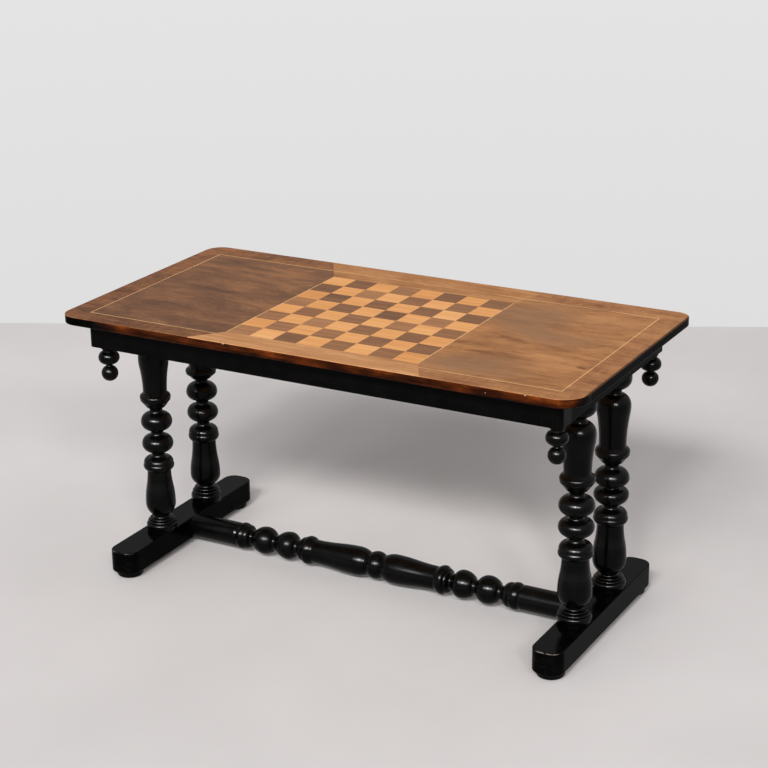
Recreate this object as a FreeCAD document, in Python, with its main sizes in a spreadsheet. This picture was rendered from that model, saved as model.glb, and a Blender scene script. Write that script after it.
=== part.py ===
import FreeCAD, Part
import enum
import math
import os
import re
import Sketcher

# A chess table: a veneered top with an inlaid board on an apron frame, carried by two trestles of
# turned legs on runner feet that a turned stretcher joins.
# X runs along the table, Y from its front to its back and Z up. The origin is on the floor under
# the table's centre. Lengths are in millimetres.

# Driving dimensions: alias, value, what it measures
SIZES = (
    ("table_length", 1090, "top, end to end"),
    ("table_depth", 552, "top, front to back"),
    ("table_height", 566, "floor to playing surface"),
    ("top_thickness", 17.5, "core and veneer together"),
    ("front_left_radius", 34, "corner of the top in plan"),
    ("front_right_radius", 54, "corner of the top in plan"),
    ("back_right_radius", 30, "corner of the top in plan"),
    ("back_left_radius", 36, "corner of the top in plan"),
    ("veneer_thickness", 1.2, "veneers, squares and stringing"),
    ("edge_band_thickness", 3, "bands round the core"),
    ("upper_arris_radius", 0.8, "eased upper edge of the top"),
    ("lower_arris_radius", 2.5, "eased lower edge of the top"),
    ("end_band_return", 81, "left end band along the front and the back"),
    ("end_band_setback", 2, "right end band short of the rounded corners"),
    ("square_size", 50.4, "one square of the board"),
    ("square_joint", 0.06, "glue line between two squares"),
    ("board_shift", 16.6, "board's centre towards the front"),
    ("board_offset", 7.2, "board's centre towards the right end"),
    ("stringing_inset", 47.5, "ends of the top to the inlaid line"),
    ("stringing_width", 1.6, "inlaid lines"),
    ("front_left_splay", 47.6, "veneer mitre, measured along the edge"),
    ("front_right_splay", 33, "veneer mitre, measured along the edge"),
    ("back_left_splay", 54, "veneer mitre, measured along the edge"),
    ("back_right_splay", 25, "veneer mitre, measured along the edge"),
    ("end_overhang", 44.2, "top past the end aprons"),
    ("side_overhang", 35, "top past the long aprons"),
    ("apron_height", 50.7, "aprons, posts and bearers"),
    ("apron_thickness", 18, "aprons"),
    ("post_size", 42, "square corner posts"),
    ("post_corner_radius", 10, "rounded outer corner of a post"),
    ("apron_tenon_thickness", 6, "tenons of the aprons"),
    ("apron_tenon_length", 12, "tenons of the aprons"),
    ("apron_tenon_shoulder", 9, "tenons below and above"),
    ("bearer_width", 52, "bearers behind the end aprons"),
    ("glue_block_size", 22, "square section of the glue blocks"),
    ("glue_block_length", 60, "glue blocks"),
    ("fit_clearance", 0.2, "tenons and spigots in their holes, each side"),
    ("bottom_clearance", 2, "space past the end of a tenon or peg"),
    ("overrun", 5, "cutting shapes past what they cut"),
    ("leg_inset", 17.8, "inner faces of the end aprons to the legs' axes"),
    ("leg_spacing", 166, "between the two legs of a trestle"),
    ("leg_foot_tenon_diameter", 30, "leg into the foot"),
    ("leg_foot_tenon_length", 30, "leg into the foot"),
    ("leg_top_tenon_diameter", 22, "leg into the bearer"),
    ("leg_top_tenon_length", 36, "leg into the bearer"),
    ("leg_plinth_diameter", 63, "lowest disc of a leg"),
    ("leg_ring_diameter", 65.6, "base ring"),
    ("leg_quirk_diameter", 61, "steps between collars and bowls"),
    ("leg_bowl_diameter", 63.4, "wide ends of the bowls"),
    ("leg_shoulder_diameter", 40, "outer edges of the coves"),
    ("leg_neck_diameter", 27, "coves between the balls"),
    ("leg_vase_diameter", 64.4, "widest part of both balusters"),
    ("leg_flank_diameter", 59.4, "where a baluster's hollow meets its swell"),
    ("leg_waist_diameter", 50.5, "narrow ends of both balusters"),
    ("leg_lip_diameter", 58, "steps between balusters and collars"),
    ("leg_collar_diameter", 65.6, "rings at the narrow ends"),
    ("leg_ball_diameter", 66.6, "two balls at mid height"),
    ("leg_top_neck_diameter", 28, "neck under the top collar"),
    ("leg_top_collar_diameter", 64.6, "collar under the bearer"),
    ("pendant_length", 75, "drop below the apron"),
    ("pendant_ball_diameter", 33, "lower ball"),
    ("pendant_neck_diameter", 12.5, "between ball and bead"),
    ("pendant_bead_diameter", 41.5, "upper, flattened bead"),
    ("pendant_collar_diameter", 28, "where it meets the post"),
    ("pendant_spigot_diameter", 12, "pin in the post"),
    ("pendant_spigot_length", 25, "pin in the post"),
    ("foot_length", 459, "runner feet"),
    ("foot_width", 62.5, "runner feet"),
    ("foot_height", 46.7, "runner feet"),
    ("foot_offset", 3.8, "legs' axes outwards to the middle of a foot"),
    ("foot_corner_radius", 25, "rounded ends of a foot in plan"),
    ("foot_upper_arris_radius", 2.5, "eased upper edge of a foot"),
    ("foot_lower_arris_radius", 4, "eased lower edge of a foot"),
    ("pad_height", 12.3, "pads under the feet"),
    ("pad_diameter", 54, "pads under the feet"),
    ("pad_edge_radius", 5, "rounded lower edge of a pad"),
    ("pad_inset", 34, "ends of a foot to its pads' axes"),
    ("stretcher_rise", 25.3, "stretcher's axis over the foot's underside"),
    ("stretcher_tenon_diameter", 26, "stretcher into the foot"),
    ("stretcher_tenon_length", 30, "stretcher into the foot"),
    ("stretcher_barrel_diameter", 50, "plain ends, and the bowls beside the rings"),
    ("stretcher_end_diameter", 55, "rings at the barrels' inner ends"),
    ("stretcher_quirk_diameter", 47, "narrow steps beside the rings"),
    ("stretcher_shoulder_diameter", 40, "outer edges of the coves"),
    ("stretcher_neck_diameter", 28, "coves beside the balls"),
    ("stretcher_ball_diameter", 57.5, "pairs of balls"),
    ("stretcher_collar_diameter", 59, "rings at the narrow ends of the balusters"),
    ("stretcher_waist_diameter", 48.5, "narrow ends of the balusters"),
    ("stretcher_flank_diameter", 54.6, "where a baluster's hollow meets its swell"),
    ("stretcher_swell_diameter", 60, "widest part of the balusters"),
    ("stretcher_groove_diameter", 44, "grooves beside the centre ring"),
    ("stretcher_centre_diameter", 57, "centre ring"),
    ("peg_diameter", 8, "pegs through the stretcher's tenons"),
    ("peg_cover", 3.3, "pegs past the stretcher's tenons"),
    ("screw_diameter", 4.5, "shanks of all screws"),
    ("screw_head_diameter", 9, "heads of all screws"),
    ("screw_head_height", 3, "heads of all screws"),
    ("screw_grip", 11, "thread in the top and in the end aprons"),
    ("screw_recess", 24, "heads in the bearers"),
    ("top_screw_inset", 44, "ends of a bearer to the outer screws into the top"),
    ("bearer_screw_offset", 40, "legs' axes to the screws into the end aprons"),
    ("pad_screw_recess", 5, "heads in the pads"),
    ("pad_screw_grip", 20, "thread in the feet"),
)

SQUARES_PER_SIDE = 8

# Where the inlaid lines run between the board and the table's front and back edges
FRONT_LINE_SHARE = 0.263
BACK_LINE_SHARE = 0.392

# Places and spans that follow from the driving dimensions
DERIVED = (
    ("half_length", "=table_length / 2"),
    ("half_depth", "=table_depth / 2"),
    ("top_underside", "=table_height - top_thickness"),
    ("veneer_underside", "=table_height - veneer_thickness"),
    ("core_thickness", "=top_thickness - veneer_thickness"),
    ("board_half", f"=square_size * {SQUARES_PER_SIDE} / 2"),
    ("board_front", "=-board_shift - board_half"),
    ("board_back", "=board_half - board_shift"),
    ("block_half", "=board_half + stringing_width"),
    ("block_left", "=board_offset - block_half"),
    ("block_right", "=board_offset + block_half"),
    ("front_margin", "=half_depth + board_front"),
    ("back_margin", "=half_depth - board_back"),
    ("front_line", f"=board_front - front_margin * {FRONT_LINE_SHARE}"),
    ("back_line", f"=board_back + back_margin * {BACK_LINE_SHARE}"),
    ("apron_x", "=half_length - end_overhang"),
    ("apron_y", "=half_depth - side_overhang"),
    ("post_x", "=apron_x - post_size / 2"),
    ("post_y", "=apron_y - post_size / 2"),
    ("apron_bottom", "=top_underside - apron_height"),
    ("apron_middle", "=apron_bottom + apron_height / 2"),
    ("bearer_x", "=apron_x - apron_thickness - bearer_width"),
    ("bearer_half", "=apron_y - post_size"),
    ("bearer_middle", "=bearer_x + bearer_width / 2"),
    ("trestle_x", "=apron_x - apron_thickness - leg_inset"),
    ("leg_y", "=leg_spacing / 2"),
    ("foot_top", "=pad_height + foot_height"),
    ("leg_length", "=apron_bottom - foot_top"),
    ("foot_x", "=trestle_x + foot_offset"),
    ("pad_y", "=foot_length / 2 - pad_inset"),
    ("stretcher_z", "=pad_height + stretcher_rise"),
    ("stretcher_half", "=foot_x - foot_width / 2"),
    ("peg_x", "=stretcher_half + stretcher_tenon_length / 2"),
    ("peg_length", "=stretcher_rise + stretcher_tenon_diameter / 2 + peg_cover"),
    ("screw_hole_diameter", "=screw_diameter + fit_clearance * 2"),
    ("screw_pocket_diameter", "=screw_head_diameter + fit_clearance * 2"),
)

# How an outline leaves a point: in a line, or in an arc whose crest, where it runs along the
# outline's second axis, is its end or its start
LINE = "line"
TO_CREST = "arc to a crest"
FROM_CREST = "arc from a crest"

# Turned profiles: share of the turning's length, diameter, way to the next point
LEG_SHARES = (
    (0.000, "leg_plinth_diameter", LINE),
    (0.007, "leg_plinth_diameter", TO_CREST),
    (0.024, "leg_ring_diameter", FROM_CREST),
    (0.036, "leg_ring_diameter * 0.86", TO_CREST),
    (0.041, "leg_ring_diameter * 0.9", FROM_CREST),
    (0.047, "leg_ring_diameter * 0.83", LINE),
    (0.048, "leg_ring_diameter * 0.75", TO_CREST),
    (0.052, "leg_ring_diameter * 0.78", FROM_CREST),
    (0.057, "leg_ring_diameter * 0.72", LINE),
    (0.058, "leg_shoulder_diameter * 0.93", TO_CREST),
    (0.065, "leg_neck_diameter * 1.2", FROM_CREST),
    (0.073, "leg_shoulder_diameter * 0.94", TO_CREST),
    (0.132, "leg_vase_diameter", FROM_CREST),
    (0.207, "leg_flank_diameter", TO_CREST),
    (0.299, "leg_waist_diameter", LINE),
    (0.305, "leg_lip_diameter", TO_CREST),
    (0.322, "leg_collar_diameter", FROM_CREST),
    (0.335, "leg_quirk_diameter", LINE),
    (0.337, "leg_bowl_diameter", FROM_CREST),
    (0.366, "leg_shoulder_diameter", TO_CREST),
    (0.382, "leg_neck_diameter", FROM_CREST),
    (0.397, "leg_shoulder_diameter", TO_CREST),
    (0.435, "leg_ball_diameter", FROM_CREST),
    (0.473, "leg_shoulder_diameter", TO_CREST),
    (0.488, "leg_neck_diameter", FROM_CREST),
    (0.503, "leg_shoulder_diameter", TO_CREST),
    (0.540, "leg_ball_diameter", FROM_CREST),
    (0.580, "leg_shoulder_diameter", TO_CREST),
    (0.595, "leg_neck_diameter", FROM_CREST),
    (0.610, "leg_shoulder_diameter", LINE),
    (0.643, "leg_bowl_diameter", LINE),
    (0.645, "leg_quirk_diameter", TO_CREST),
    (0.657, "leg_collar_diameter", FROM_CREST),
    (0.671, "leg_lip_diameter", LINE),
    (0.679, "leg_waist_diameter", FROM_CREST),
    (0.800, "leg_flank_diameter", TO_CREST),
    (0.850, "leg_vase_diameter", FROM_CREST),
    (0.896, "leg_shoulder_diameter * 1.1", TO_CREST),
    (0.914, "leg_top_neck_diameter", LINE),
    (0.918, "leg_top_neck_diameter", FROM_CREST),
    (0.929, "leg_shoulder_diameter * 0.92", TO_CREST),
    (0.971, "leg_top_collar_diameter", LINE),
    (0.994, "leg_top_collar_diameter", LINE),
    (1.000, "leg_plinth_diameter", LINE),
)
PENDANT_SHARES = (
    (0.000, "0", TO_CREST),
    (0.220, "pendant_ball_diameter", FROM_CREST),
    (0.413, "pendant_neck_diameter * 1.28", TO_CREST),
    (0.453, "pendant_neck_diameter", FROM_CREST),
    (0.487, "pendant_neck_diameter * 1.36", TO_CREST),
    (0.657, "pendant_bead_diameter", FROM_CREST),
    (0.827, "pendant_collar_diameter * 0.9", LINE),
    (0.880, "pendant_collar_diameter * 0.8", LINE),
    (0.907, "pendant_collar_diameter", LINE),
    (1.000, "pendant_collar_diameter", LINE),
)
STRETCHER_HALF_SHARES = (
    (0.000, "stretcher_centre_diameter", FROM_CREST),
    (0.032, "stretcher_quirk_diameter", LINE),
    (0.034, "stretcher_groove_diameter", LINE),
    (0.042, "stretcher_groove_diameter", LINE),
    (0.044, "stretcher_quirk_diameter", TO_CREST),
    (0.095, "stretcher_swell_diameter", FROM_CREST),
    (0.200, "stretcher_flank_diameter", TO_CREST),
    (0.318, "stretcher_waist_diameter", LINE),
    (0.324, "stretcher_quirk_diameter * 1.08", TO_CREST),
    (0.350, "stretcher_collar_diameter", FROM_CREST),
    (0.369, "stretcher_quirk_diameter", LINE),
    (0.372, "stretcher_barrel_diameter", FROM_CREST),
    (0.389, "stretcher_shoulder_diameter", TO_CREST),
    (0.404, "stretcher_neck_diameter", FROM_CREST),
    (0.419, "stretcher_shoulder_diameter", TO_CREST),
    (0.455, "stretcher_ball_diameter", FROM_CREST),
    (0.508, "stretcher_shoulder_diameter", TO_CREST),
    (0.525, "stretcher_neck_diameter", FROM_CREST),
    (0.540, "stretcher_shoulder_diameter", TO_CREST),
    (0.584, "stretcher_ball_diameter", FROM_CREST),
    (0.634, "stretcher_shoulder_diameter", TO_CREST),
    (0.651, "stretcher_neck_diameter", FROM_CREST),
    (0.666, "stretcher_shoulder_diameter", TO_CREST),
    (0.688, "stretcher_barrel_diameter", LINE),
    (0.691, "stretcher_quirk_diameter", TO_CREST),
    (0.713, "stretcher_end_diameter", FROM_CREST),
    (0.735, "stretcher_quirk_diameter", LINE),
    (0.745, "stretcher_barrel_diameter", LINE),
    (1.000, "stretcher_barrel_diameter", LINE),
)

# The turnings were made by eye. Where marks of the common profiles come on each leg, each pendant and
# each half of the stretcher, and how stout each leg is
LEG_MARK_SHARES = (0, 0.065, 0.196, 0.328, 0.382, 0.435, 0.488, 0.540, 0.595, 0.656, 0.814, 1)
LEG_OWN_SHARES = {
    "front_left": (0, 0.066, 0.196, 0.328, 0.378, 0.431, 0.486, 0.540, 0.597, 0.660, 0.814, 1),
    "front_right": (0, 0.065, 0.196, 0.322, 0.381, 0.434, 0.480, 0.530, 0.585, 0.651, 0.814, 1),
    "back_right": (0, 0.065, 0.196, 0.334, 0.386, 0.440, 0.478, 0.516, 0.575, 0.638, 0.814, 1),
    "back_left": (0, 0.084, 0.196, 0.349, 0.406, 0.461, 0.514, 0.566, 0.624, 0.670, 0.814, 1),
}
LEG_GIRTH_SHARES = {"front_left": 0.96, "front_right": 1.02, "back_right": 1.02, "back_left": 0.985}
PENDANT_MARK_SHARES = (0, 0.220, 0.453, 0.657, 1)
PENDANT_OWN_SHARES = {
    "front_left": (0.012, 0.226, 0.453, 0.657, 1),
    "front_right": (0, 0.220, 0.453, 0.657, 1),
    "back_right": (0.060, 0.280, 0.476, 0.657, 1),
    "back_left": (0, 0.220, 0.453, 0.657, 1),
}
STRETCHER_MARK_SHARES = (0, 0.350, 0.404, 0.455, 0.525, 0.584, 0.651, 0.713, 1)
STRETCHER_OWN_SHARES = {
    "left": (0, 0.360, 0.420, 0.470, 0.541, 0.601, 0.667, 0.722, 1),
    "right": (0, 0.345, 0.389, 0.439, 0.509, 0.567, 0.635, 0.707, 1),
}

# How far the pendants' axes are inside the outer faces of their posts, along X and Y, as shares of
# the posts' size
PENDANT_INSET_SHARES = {
    "front_left": (0.638, 0.602),
    "front_right": (0.464, 0.607),
    "back_right": (0.443, 0.450),
    "back_left": (0.500, 0.500),
}

# Places along a piece, as shares of its half length
GLUE_BLOCK_SHARES = (-0.7, -0.24, 0.24, 0.7)

# Places along Y of the screws in a bearer: into the top, and into the end apron
TOP_SCREW_PLACES = ("top_screw_inset - bearer_half", "0", "bearer_half - top_screw_inset")
BEARER_SCREW_PLACES = tuple(
    f"leg_y * {leg} + bearer_screw_offset * {way}" for leg in (-1, 1) for way in (-1, 1)
)

RIGHT_ANGLE = 90
FULL_TURN = 360
TO_RIGHT = FreeCAD.Rotation(FreeCAD.Vector(0, 1, 0), RIGHT_ANGLE)
TO_LEFT = FreeCAD.Rotation(FreeCAD.Vector(0, 1, 0), -RIGHT_ANGLE)
UPWARD = FreeCAD.Rotation()
LEVEL_TOLERANCE = 1e-6

# The two ends of the table, and its corners in the order of quarter turns
ENDS = (("left", -1), ("right", 1))
OUTWARD = {-1: TO_LEFT, 1: TO_RIGHT}
CORNERS = (("front_left", -1, -1), ("front_right", 1, -1), ("back_right", 1, 1), ("back_left", -1, 1))
TOP_RADII = [f"{label}_radius" for label, side_x, side_y in CORNERS]


class Spot(enum.IntEnum):
    """Numbers by which a sketch knows its own origin and the points of an edge."""
    ORIGIN = -1
    START = 1
    END = 2
    CENTRE = 3


doc = FreeCAD.newDocument("ChessTable")
sheet = doc.addObject("Spreadsheet::Sheet", "Sizes")
nodes = []


def fill_sheet():
    """Writes every driving and derived dimension to the sheet under its alias."""
    rows = [(alias, str(number), note) for alias, number, note in SIZES]
    rows += [(alias, formula, "worked out") for alias, formula in DERIVED]
    for row, (alias, content, note) in enumerate(rows, start=1):
        sheet.set(f"A{row}", note)
        sheet.set(f"B{row}", content)
        sheet.setAlias(f"B{row}", alias)
    doc.recompute()


def bound(expression):
    """The expression with each alias in it named as a cell of the sheet."""
    return re.sub(r"[a-z]\w*", lambda word: f"Sizes.{word.group()}", expression)


def value(expression):
    """The number that an expression of aliases gives."""
    return float(sheet.evalExpression(bound(expression)))


def node(item, label):
    """Marks an object as a sub-part of the table and names it."""
    item.Label = label
    nodes.append(item)
    return item


def place(item, spot, turn=UPWARD):
    """Turns an object and binds its place to the sheet."""
    item.Placement = FreeCAD.Placement(FreeCAD.Vector(), turn)
    for axis, expression in zip("xyz", spot):
        item.setExpression(f"Placement.Base.{axis}", bound(expression))


def block(name, corner, extent):
    """A box from its lowest corner and its extent along X, Y and Z."""
    item = doc.addObject("Part::Box", name)
    for side, expression in zip(("Length", "Width", "Height"), extent):
        item.setExpression(side, bound(expression))
    place(item, corner)
    return item


def rod(name, diameter, length, start, turn=UPWARD):
    """A cylinder that runs from a starting point."""
    item = doc.addObject("Part::Cylinder", name)
    item.setExpression("Radius", bound(f"({diameter}) / 2"))
    item.setExpression("Height", bound(length))
    place(item, start, turn)
    return item


def group(name, pieces):
    """Separate solids held in one object."""
    item = doc.addObject("Part::Compound", name)
    item.Links = pieces
    return item


def cut(name, base, tools):
    """A piece with other shapes taken out of it."""
    item = doc.addObject("Part::Cut", name)
    item.Base = base
    item.Tool = tools[0] if len(tools) == 1 else group(f"{name}_tools", tools)
    return item


def common(name, base, tool):
    """What two shapes share."""
    item = doc.addObject("Part::Common", name)
    item.Base = base
    item.Tool = tool
    return item


def fuse(name, pieces):
    """Overlapping or touching shapes as one solid."""
    item = doc.addObject("Part::MultiFuse", name)
    item.Shapes = pieces
    item.Refine = True
    return item


def arc_centre(crest, other):
    """Centre, level with the crest, of the arc that joins two points."""
    reach = crest.x ** 2 - other.x ** 2 - (crest.y - other.y) ** 2
    return FreeCAD.Vector(reach / (2 * (crest.x - other.x)), crest.y, 0)


def draw_edge(sketch, here, there, way):
    """Adds one edge and returns its index and the sketch's numbers for its two ends."""
    if way == LINE:
        return sketch.addGeometry(Part.LineSegment(here, there)), Spot.START, Spot.END
    crest, other = (there, here) if way == TO_CREST else (here, there)
    centre = arc_centre(crest, other)
    first, last = here - centre, there - centre
    circle = Part.Circle(centre, FreeCAD.Vector(0, 0, 1), first.Length)
    angles = [math.atan2(spoke.y, spoke.x) for spoke in (first, last)]
    if first.cross(last).z > 0:
        return sketch.addGeometry(Part.ArcOfCircle(circle, *angles)), Spot.START, Spot.END
    return sketch.addGeometry(Part.ArcOfCircle(circle, *reversed(angles))), Spot.END, Spot.START


def draw_outline(sketch, rows):
    """Closes an outline through rows of (x, y, way to the next) and binds its points to the sheet."""
    spots = [FreeCAD.Vector(value(x), value(y), 0) for x, y, way in rows]
    following = spots[1:] + spots[:1]
    edges = [draw_edge(sketch, *ends, row[2]) for ends, row in zip(zip(spots, following), rows)]
    constraints, measures = [], {}
    for (x, y, way), (edge, start, end), (joined, joined_start, joined_end) in zip(
            rows, edges, edges[1:] + edges[:1]):
        constraints.append(Sketcher.Constraint("Coincident", edge, end, joined, joined_start))
        if way != LINE:
            crest = end if way == TO_CREST else start
            constraints.append(Sketcher.Constraint("Horizontal", edge, Spot.CENTRE, edge, crest))
        for kind, expression in (("DistanceX", x), ("DistanceY", y)):
            measures[len(constraints)] = bound(expression)
            constraints.append(
                Sketcher.Constraint(kind, Spot.ORIGIN, Spot.START, edge, start, value(expression)))
    sketch.addConstraint(constraints)
    for number, expression in measures.items():
        sketch.setExpression(f"Constraints[{number}]", expression)


def sketch_in(body, role):
    """A sketch on one of the body's own origin planes."""
    sketch = body.newObject("Sketcher::SketchObject", f"{body.Name}_sketch")
    plane = next(item for item in body.Origin.OriginFeatures if item.Role == role)
    sketch.AttachmentSupport = [(plane, "")]
    sketch.MapMode = "FlatFace"
    return sketch


def padded(name, rows, thickness, level):
    """A body that stands on a level and has one plan outline all the way up."""
    body = doc.addObject("PartDesign::Body", name)
    sketch = sketch_in(body, "XY_Plane")
    draw_outline(sketch, rows)
    pad = body.newObject("PartDesign::Pad", f"{name}_pad")
    pad.Profile = sketch
    pad.setExpression("Length", bound(thickness))
    place(body, ("0", "0", level))
    return body


def eased(body, level, radius):
    """Rounds all edges of a body that lie level at a height over its sketch."""
    doc.recompute()
    base = body.Tip
    height = value(level)
    fillet = body.newObject("PartDesign::Fillet", f"{body.Name}_arris")
    fillet.Base = (base, [
        f"Edge{number}" for number, edge in enumerate(base.Shape.Edges, start=1)
        if max(abs(edge.BoundBox.ZMin - height), abs(edge.BoundBox.ZMax - height)) < LEVEL_TOLERANCE
    ])
    fillet.setExpression("Radius", bound(radius))
    return body


def turned(name, rows):
    """A body of revolution about its own Z axis from rows of (radius, height, way to the next)."""
    body = doc.addObject("PartDesign::Body", name)
    sketch = sketch_in(body, "XZ_Plane")
    draw_outline(sketch, rows)
    spin = body.newObject("PartDesign::Revolution", f"{name}_spin")
    spin.Profile = sketch
    spin.ReferenceAxis = (sketch, ["V_Axis"])
    spin.Angle = FULL_TURN
    return body


def turning(shares, length):
    """Profile rows of a turning from its shares and the length that they follow."""
    return [(f"({diameter}) / 2", f"({length}) * {share}", way) for share, diameter, way in shares]


def by_eye(shares, marks, own_marks, girth=1):
    """A common profile stretched between its marks to suit one piece, and as stout as that piece."""
    spans = list(zip(marks, marks[1:], own_marks, own_marks[1:]))
    rows = []
    for share, diameter, way in shares:
        low, high, own_low, own_high = next(span for span in spans if share <= span[1])
        own_share = own_low + (share - low) * (own_high - own_low) / (high - low)
        rows.append((own_share, f"({diameter}) * {girth}", way))
    return rows


def rounded_plan(half_x, half_y, radii):
    """Outline of a rectangle about the origin, with a radius for each of its corners."""
    rows = []
    for (label, side_x, side_y), radius in zip(CORNERS, radii):
        x, y = f"({half_x}) * {side_x}", f"({half_y}) * {side_y}"
        beside = f"({half_x} - ({radius})) * {side_x}", y
        along = x, f"({half_y} - ({radius})) * {side_y}"
        if side_x * side_y > 0:
            rows += [(*along, FROM_CREST), (*beside, LINE)]
        else:
            rows += [(*beside, TO_CREST), (*along, LINE)]
    return rows


def straight(corners):
    """Outline rows of a polygon."""
    return [(x, y, LINE) for x, y in corners]


def screw(name, shank, seat, turn=UPWARD):
    """A screw with a flat head under its seat and its shank beyond it."""
    head, neck = "screw_head_diameter / 2", "screw_diameter / 2"
    body = turned(name, straight((
        ("0", "-screw_head_height"), (head, "-screw_head_height"), (head, "0"),
        (neck, "0"), (neck, shank), ("0", shank),
    )))
    place(body, seat, turn)
    return body


def pocketed_hole(name, depth, mouth, turn=UPWARD):
    """Clearance for a screw in a bearer: a wide pocket for its head inside a narrow through hole."""
    return [
        rod(f"{name}_pocket", "screw_pocket_diameter", "screw_recess", mouth, turn),
        rod(f"{name}_hole", "screw_hole_diameter", depth, mouth, turn),
    ]


def mitre_x(side, front, splay, y):
    """Place along X of a veneer mitre where it passes a line along the table."""
    run = f"(board_front - ({y})) / front_margin" if front else f"(({y}) - board_back) / back_margin"
    return f"board_offset + (block_half + {splay} * ({run})) * {side}"


def veneer_regions():
    """Prisms, one for each side of the board, that divide the veneer sheet along its mitres."""
    front_y, back_y = "-half_depth - overrun", "half_depth + overrun"
    front_left = (mitre_x(-1, True, "front_left_splay", front_y), front_y)
    front_right = (mitre_x(1, True, "front_right_splay", front_y), front_y)
    back_left = (mitre_x(-1, False, "back_left_splay", back_y), back_y)
    back_right = (mitre_x(1, False, "back_right_splay", back_y), back_y)
    near_left, near_right = ("block_left", "board_front"), ("block_right", "board_front")
    far_left, far_right = ("block_left", "board_back"), ("block_right", "board_back")
    outer_left, outer_right = "-half_length - overrun", "half_length + overrun"
    left_ends = (outer_left, back_y), (outer_left, front_y)
    right_ends = (outer_right, front_y), (outer_right, back_y)
    outlines = {
        "left": (*left_ends, front_left, near_left, far_left, back_left),
        "right": (*right_ends, back_right, far_right, near_right, front_right),
        "front": (front_left, front_right, near_right, near_left),
        "back": (far_left, far_right, back_right, back_left),
    }
    height, level = "veneer_thickness + overrun * 2", "veneer_underside - overrun"
    return {
        side: padded(f"{side}_region", straight(corners), height, level)
        for side, corners in outlines.items()
    }


def sheet_block(name, half_x, front, back):
    """A box of the veneer's thickness, centred along X."""
    return block(
        name,
        (f"-({half_x})", front, "veneer_underside"),
        (f"({half_x}) * 2", f"({back}) - ({front})", "veneer_thickness"),
    )


def make_veneers():
    """Border and field veneers and the stringing, cut from one sheet along its mitres."""
    plan = rounded_plan("half_length", "half_depth", TOP_RADII)
    sheet_blank = padded("veneer_blank", plan, "veneer_thickness", "veneer_underside")
    eased(sheet_blank, "veneer_thickness", "upper_arris_radius")
    outer_x, inner_x = "half_length - stringing_inset", "half_length - stringing_inset - stringing_width"
    outer = sheet_block(
        "stringing_outside", outer_x, "front_line - stringing_width", "back_line + stringing_width")
    inner = sheet_block("stringing_inside", inner_x, "front_line", "back_line")
    board = block(
        "board_place",
        ("block_left", "board_front", "veneer_underside"),
        ("block_half * 2", "board_half * 2", "veneer_thickness"),
    )
    border = cut("border_sheet", sheet_blank, [outer])
    line = cut("stringing_sheet", outer, [inner])
    field = cut("field_sheet", inner, [board])
    regions = veneer_regions()
    for side in ("left", "right", "back"):
        node(common(f"{side}_border", border, regions[side]), f"{side}_border_veneer")
        node(common(f"{side}_field", field, regions[side]), f"{side}_field_veneer")
    node(common("front_centre", sheet_blank, regions["front"]), "front_centre_veneer")
    lines = [common(f"{side}_line", line, regions[side]) for side in ("left", "right", "back")]
    node(group("perimeter_line", lines), "perimeter_stringing")


def make_board():
    """The squares of the board and the stringing along its two sides."""
    squares = {"light": [], "dark": []}
    extent = ("square_size - square_joint", "square_size - square_joint", "veneer_thickness")
    for column in range(SQUARES_PER_SIDE):
        for row in range(SQUARES_PER_SIDE):
            tone = "light" if (column + row) % 2 else "dark"
            corner = (
                f"square_size * {column} + board_offset - board_half + square_joint / 2",
                f"square_size * {row} + board_front + square_joint / 2",
                "veneer_underside",
            )
            squares[tone].append(block(f"{tone}_square", corner, extent))
    for tone, pieces in squares.items():
        node(group(f"{tone}_group", pieces), f"{tone}_squares")
    line_extent = ("stringing_width", "board_half * 2", "veneer_thickness")
    lines = [
        block(f"{side}_board_line", (x, "board_front", "veneer_underside"), line_extent)
        for side, x in (("left", "block_left"), ("right", "board_offset + board_half"))
    ]
    node(group("board_line", lines), "board_stringing")


def make_core():
    """The core panel, with holes for the screws that hold it, and the bands round its edge."""
    inset = "edge_band_thickness"
    core_radii = [f"{radius} - {inset}" for radius in TOP_RADII]
    core_plan = rounded_plan(f"half_length - {inset}", f"half_depth - {inset}", core_radii)
    core = padded("core_panel", core_plan, "core_thickness", "top_underside")
    holes = [
        rod(f"{label}_core_hole", "screw_hole_diameter", "screw_grip",
            (f"bearer_middle * {side}", y, "top_underside"))
        for label, side in ENDS for y in TOP_SCREW_PLACES
    ]
    node(cut("core", core, holes), "top_core")
    plan = rounded_plan("half_length", "half_depth", TOP_RADII)
    band_blank = padded("band_blank", plan, "core_thickness", "top_underside")
    eased(band_blank, "0", "lower_arris_radius")
    ring = cut("band_ring", band_blank, [core])
    seam = "end_band_return - half_length"
    front_width = "front_right_radius + end_band_setback"
    back_width = "back_right_radius + end_band_setback"
    front_seam, back_seam = f"{front_width} - half_depth", f"half_depth - ({back_width})"
    outer_left, outer_front = "-half_length - overrun", "-half_depth - overrun"
    left_width, long_width = "end_band_return + overrun", "table_length - end_band_return + overrun"
    windows = {
        "left_end_band": ((outer_left, outer_front), (left_width, "table_depth + overrun * 2")),
        "right_end_band": (("0", front_seam), ("half_length + overrun", f"{back_seam} - ({front_seam})")),
        "front_edge_band": ((seam, outer_front), (long_width, f"{front_width} + overrun")),
        "back_edge_band": ((seam, back_seam), (long_width, f"{back_width} + overrun")),
    }
    for label, (corner, extent) in windows.items():
        window = block(
            f"{label}_window",
            (*corner, "top_underside - overrun"),
            (*extent, "core_thickness + overrun * 2"),
        )
        node(common(f"{label}_piece", ring, window), label)


def low_end(side, near, far):
    """Lower end of a span that reaches from near to far on one side of the centre plane."""
    return near if side > 0 else f"-({far})"


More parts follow.
